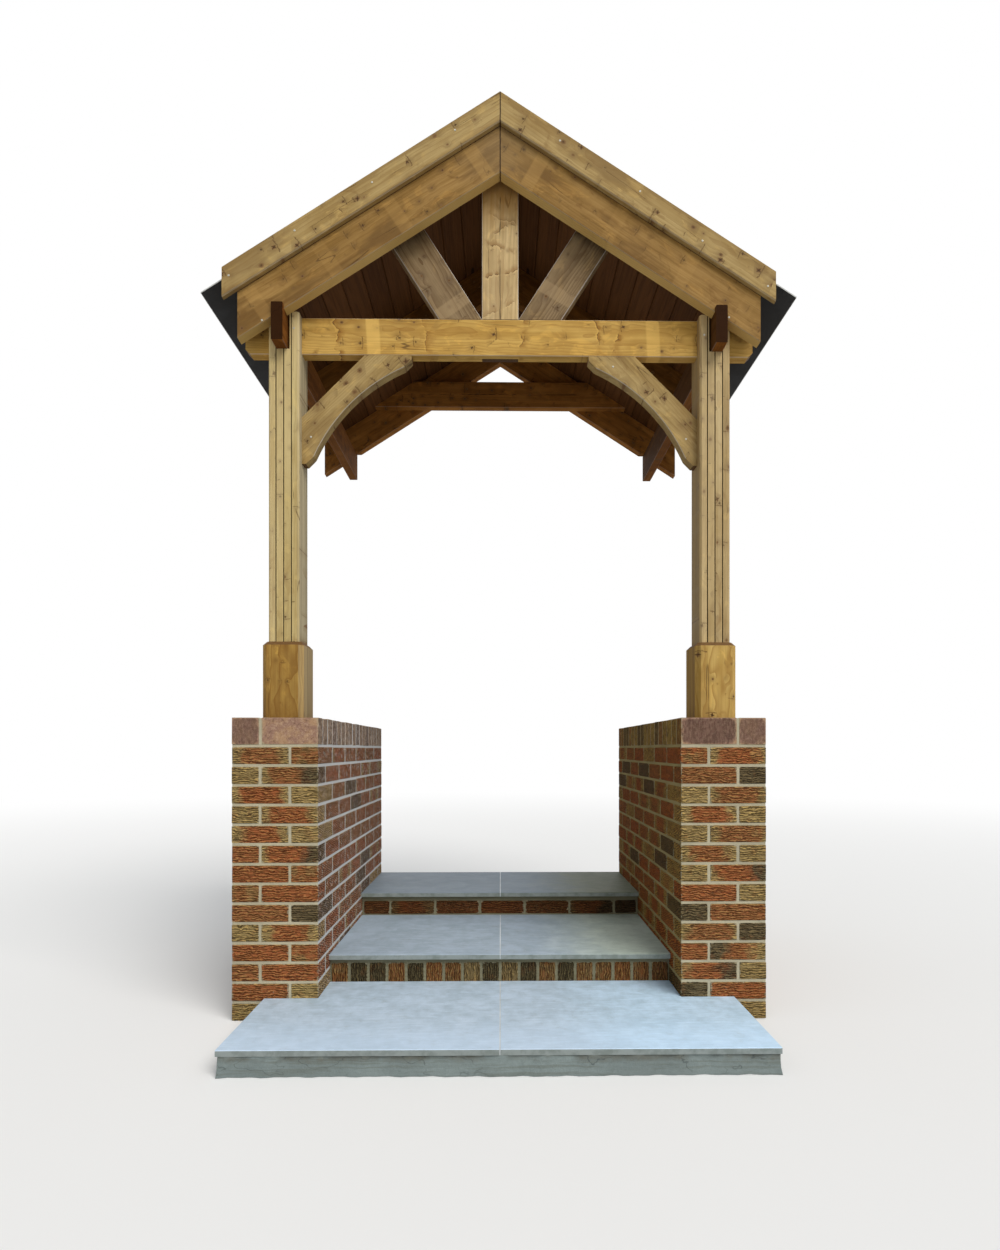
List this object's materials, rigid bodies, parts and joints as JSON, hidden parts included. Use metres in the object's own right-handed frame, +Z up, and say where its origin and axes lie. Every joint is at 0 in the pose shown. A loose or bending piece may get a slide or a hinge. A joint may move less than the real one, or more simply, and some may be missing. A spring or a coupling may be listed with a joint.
{
  "type": "porch canopy",
  "caption": "Open gabled timber porch canopy with king-post truss and curved knee braces, on dwarf brick walls beside a flight of steps.",
  "frame": {"origin": "on the lowest ground, at the middle of the overall width and depth", "axes": "+X to the right as seen from the front, +Y from the front into the house wall, +Z up"},
  "size_m": [2.3004, 1.79, 3.5531],
  "materials": {
    "brickwork": "rough",
    "coping_brick": "matte",
    "mortar": "rough",
    "paving_slab": "matte",
    "pale_timber": "satin",
    "golden_timber": "satin",
    "dark_boards": "satin",
    "black_sheet": "matte",
    "slate": "matte",
    "ridge_sheet": "matte"
  },
  "bodies": {
    "root": {"plinth_left": "brickwork", "plinth_right": "brickwork", "coping_left": "coping_brick", "coping_right": "coping_brick", "lower_tread_left": "paving_slab", "lower_tread_right": "paving_slab", "middle_tread_left": "paving_slab", "middle_tread_right": "paving_slab", "upper_tread_left": "paving_slab", "upper_tread_right": "paving_slab", "post_left": "pale_timber", "post_right": "pale_timber", "post_base_left": "pale_timber", "post_base_right": "pale_timber", "purlin_left": "golden_timber", "purlin_right": "golden_timber", "strut_left": "golden_timber", "strut_right": "golden_timber", "knee_brace_left": "pale_timber", "knee_brace_right": "pale_timber", "front_rafter_left": "golden_timber", "front_rafter_right": "golden_timber", "middle_rafter_left": "golden_timber", "middle_rafter_right": "golden_timber", "wall_rafter_left": "golden_timber", "wall_rafter_right": "golden_timber", "bargeboard_left": "golden_timber", "bargeboard_right": "golden_timber", "ceiling_boards_left": "dark_boards", "ceiling_boards_right": "dark_boards", "roof_deck_left": "golden_timber", "roof_deck_right": "golden_timber", "eaves_sheet_left": "black_sheet", "eaves_sheet_right": "black_sheet", "slates_left": "slate", "slates_right": "slate", "lower_step_bed": "mortar", "middle_step_brickwork": "brickwork", "upper_step_brickwork": "brickwork", "tie_beam": "golden_timber", "king_post": "golden_timber", "wall_collar": "golden_timber", "ridge_cap": "ridge_sheet"}
  },
  "joints": []
}
